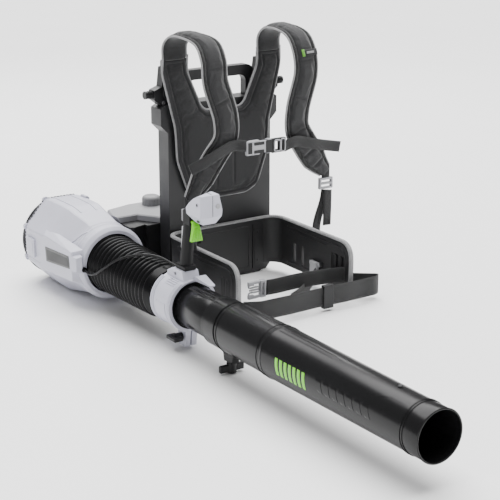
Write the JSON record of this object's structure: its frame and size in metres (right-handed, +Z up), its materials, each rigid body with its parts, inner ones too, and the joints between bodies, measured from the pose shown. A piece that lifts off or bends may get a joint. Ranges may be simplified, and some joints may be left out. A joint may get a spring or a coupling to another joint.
{
  "type": "backpack leaf blower",
  "caption": "Battery backpack leaf blower: harness frame with hip belt, side motor housing, bellows hose, handle clamp and telescopic nozzle tube.",
  "frame": {"origin": "on the ground, under the middle of the back frame's bottom face", "axes": "+Z up; the wearer faces -Y and the blower tube points along -Y; the wearer's right, with the motor and tube, is -X"},
  "size_m": [0.6904, 1.544, 0.6697],
  "materials": {
    "black_plastic": "fine moulded texture",
    "grey_plastic": "satin light grey",
    "dark_grey_plastic": "satin dark grey",
    "pad_fabric": "woven mesh",
    "piping": "light grey braid",
    "webbing": "ribbed nylon webbing",
    "tube_plastic": "semi-gloss black",
    "bellows_rubber": "satin black",
    "grip_rubber": "soft touch",
    "cable_jacket": "smooth",
    "green_plastic": "satin green",
    "fan_plastic": "glass filled",
    "steel": "machined",
    "stator_iron": "laminated"
  },
  "bodies": {
    "pack": {"back_frame": "black_plastic", "yoke_handle": "black_plastic", "back_pad": "pad_fabric", "lumbar_plate": "black_plastic", "belt_clip_pins": "steel", "hip_arm_left": "black_plastic", "hip_arm_right": "black_plastic", "hip_trim": "piping", "hip_webbing_front": "webbing", "hip_webbing_inner": "webbing", "hip_buckle": "grey_plastic", "strap_keeper": "black_plastic", "shoulder_pad_left": "pad_fabric", "shoulder_pad_right": "pad_fabric", "ladder_locks": "black_plastic", "shoulder_webbing": "webbing", "battery_dock": "black_plastic", "dock_shelf": "grey_plastic", "dock_terminal": "black_plastic", "dock_feet": "grip_rubber", "blower_bracket": "black_plastic", "housing_upper": "grey_plastic", "housing_lower": "dark_grey_plastic", "intake_grille": "dark_grey_plastic", "housing_front_ring": "grey_plastic", "cable_grommet": "grip_rubber", "fan_duct": "black_plastic", "motor_stator": "stator_iron", "motor_bearings": "steel", "bellows_rear": "bellows_rubber", "cable_rear": "cable_jacket"},
    "chest_strap": {"chest_strap_left": "webbing", "chest_strap_right": "webbing", "chest_buckle_female": "grey_plastic", "chest_buckle_male": "black_plastic"},
    "latch": {"dock_latch": "grey_plastic"},
    "belt_lever_left": {"belt_clip_left": "grey_plastic"},
    "belt_lever_right": {"belt_clip_right": "grey_plastic"},
    "fan": {"fan_rotor": "fan_plastic", "motor_shaft": "steel"},
    "hose": {"bellows_middle": "bellows_rubber", "cable_middle": "cable_jacket"},
    "tube": {"bellows_front": "bellows_rubber", "inner_tube": "tube_plastic", "cable_front": "cable_jacket"},
    "extension": {"outer_tube": "tube_plastic"},
    "collar_lock": {"collar_knob": "black_plastic"},
    "nozzle_tube": {"nozzle": "tube_plastic"},
    "clamp_sleeve": {"clamp_liner": "dark_grey_plastic", "cable_slide": "cable_jacket"},
    "handle": {"clamp_ring": "grey_plastic", "handle_grip": "grip_rubber", "grip_strip": "grey_plastic", "handle_head": "grey_plastic", "trigger_pin": "steel", "cable_end": "cable_jacket"},
    "clamp_lock": {"clamp_knob": "black_plastic"},
    "throttle": {"trigger": "green_plastic"},
    "turbo": {"turbo_button": "green_plastic"},
    "cruise": {"speed_lever": "black_plastic"}
  },
  "joints": [
    {"name": "fan_spin", "type": "hinge", "parent": "pack", "child": "fan", "pos_m": [-0.34, 0.1, 0.109], "axis": [0, 1, 0], "continuous": true},
    {"name": "chest_strap_height", "type": "slide", "parent": "pack", "child": "chest_strap", "axis": [0, 0, 1], "range_m": [-0.02, 0.03]},
    {"name": "latch_turn", "type": "hinge", "parent": "pack", "child": "latch", "pos_m": [-0.108, 0.152, 0.19], "axis": [0, 0, 1], "range_deg": [0, 75]},
    {"name": "belt_lever_left_lift", "type": "hinge", "parent": "pack", "child": "belt_lever_left", "pos_m": [0.1571, -0.232, 0.066], "axis": [0, 1, 0], "range_deg": [0, 70]},
    {"name": "belt_lever_right_lift", "type": "hinge", "parent": "pack", "child": "belt_lever_right", "pos_m": [-0.1571, -0.262, 0.082], "axis": [0, -1, 0], "range_deg": [0, 70]},
    {"name": "hose_yaw", "type": "hinge", "parent": "pack", "child": "hose", "pos_m": [-0.34, -0.112, 0.109], "axis": [0, 0, 1], "range_deg": [-25, 15], "deforming": ["bellows_rear", "cable_rear"]},
    {"name": "hose_pitch", "type": "hinge", "parent": "hose", "child": "tube", "pos_m": [-0.34, -0.258, 0.109], "axis": [-1, 0, 0], "range_deg": [-10, 25], "deforming": ["bellows_front", "cable_front"]},
    {"name": "tube_extend", "type": "slide", "parent": "tube", "child": "extension", "axis": [0, -1, 0], "range_m": [-0.09, 0.05]},
    {"name": "collar_knob_turn", "type": "hinge", "parent": "extension", "child": "collar_lock", "pos_m": [-0.34, -0.601, 0.02], "axis": [0, 0, 1], "range_deg": [-90, 90]},
    {"name": "nozzle_pull", "type": "slide", "parent": "extension", "child": "nozzle_tube", "axis": [0, -1, 0], "range_m": [0, 0.025]},
    {"name": "handle_slide", "type": "slide", "parent": "tube", "child": "clamp_sleeve", "axis": [0, -1, 0], "range_m": [0, 0.02], "deforming": ["cable_slide"]},
    {"name": "handle_turn", "type": "hinge", "parent": "clamp_sleeve", "child": "handle", "pos_m": [-0.34, -0.4, 0.109], "axis": [0, 1, 0], "range_deg": [-20, 20], "deforming": ["cable_end"]},
    {"name": "clamp_knob_turn", "type": "hinge", "parent": "handle", "child": "clamp_lock", "pos_m": [-0.376, -0.416, 0.03], "axis": [-1, 0, 0], "range_deg": [-90, 90]},
    {"name": "trigger_pull", "type": "hinge", "parent": "handle", "child": "throttle", "pos_m": [-0.328, -0.448, 0.314], "axis": [1, 0, 0], "range_deg": [0, 12], "stiffness_Nm_per_rad": 0.8, "springref_deg": -14.32},
    {"name": "turbo_press", "type": "slide", "parent": "handle", "child": "turbo", "axis": [0, 1, 0], "range_m": [0, 0.004], "stiffness_N_per_m": 600, "springref_m": -0.003},
    {"name": "cruise_turn", "type": "hinge", "parent": "handle", "child": "cruise", "pos_m": [-0.288, -0.436, 0.344], "axis": [1, 0, 0], "range_deg": [-25, 25]}
  ]
}
